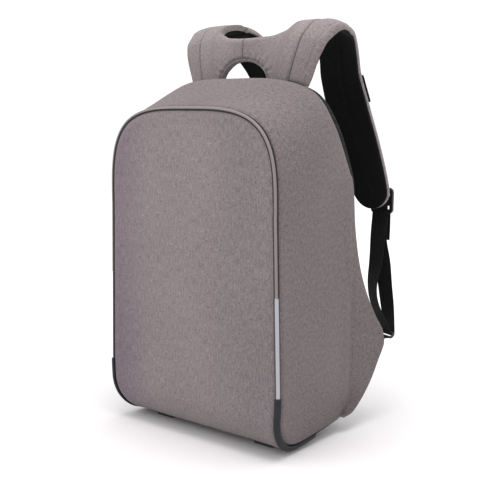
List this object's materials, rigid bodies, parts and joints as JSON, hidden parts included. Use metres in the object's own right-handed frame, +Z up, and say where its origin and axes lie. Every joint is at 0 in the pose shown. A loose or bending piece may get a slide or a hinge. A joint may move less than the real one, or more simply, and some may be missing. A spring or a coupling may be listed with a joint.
{
  "type": "anti theft backpack",
  "caption": "Standing anti theft backpack with padded shoulder straps, a cut-out carry handle, soft side wings, corner guards, reflective strips and a zipped back panel.",
  "frame": {"origin": "centre of the object's bounding box on the floor it stands on", "axes": "+Z up, +X to the right of someone who looks at the front panel, which faces -Y"},
  "size_m": [0.332, 0.294, 0.5559],
  "materials": {
    "front_cloth": "heather grey woven polyester, matt",
    "side_cloth": "heather grey woven polyester, matt",
    "black_mesh": "black spacer mesh, matt",
    "black_webbing": "ribbed black polyester webbing, slight sheen",
    "reflective": "light grey reflective tape, satin",
    "guard_rubber": "dark slate moulded rubber, satin",
    "black_plastic": "moulded acetal, slightly glossy",
    "zip": "black coil zip, slight sheen"
  },
  "bodies": {
    "root": {"front_panel": "front_cloth", "side_and_top_wall": "side_cloth", "arch_trim": "side_cloth", "rear_piping_right": "side_cloth", "rear_piping_left": "side_cloth", "corner_guard_right": "guard_rubber", "corner_guard_left": "guard_rubber", "reflective_strip_right": "reflective", "reflective_strip_left": "reflective", "back_panel": "black_mesh", "back_zip": "zip", "foot_front_right": "guard_rubber", "foot_front_left": "guard_rubber", "foot_rear_right": "guard_rubber", "foot_rear_left": "guard_rubber", "strap_right": "side_cloth", "strap_left": "side_cloth", "strap_lining_right": "black_mesh", "strap_lining_left": "black_mesh", "yoke": "side_cloth", "yoke_lining": "black_mesh", "strap_band_right": "black_webbing", "strap_band_left": "black_webbing", "adjuster_right": "black_plastic", "adjuster_left": "black_plastic", "ring_right": "black_plastic", "ring_left": "black_plastic", "wing_tab_right": "black_webbing", "wing_tab_left": "black_webbing", "webbing_right": "black_webbing", "webbing_left": "black_webbing"}
  },
  "joints": []
}
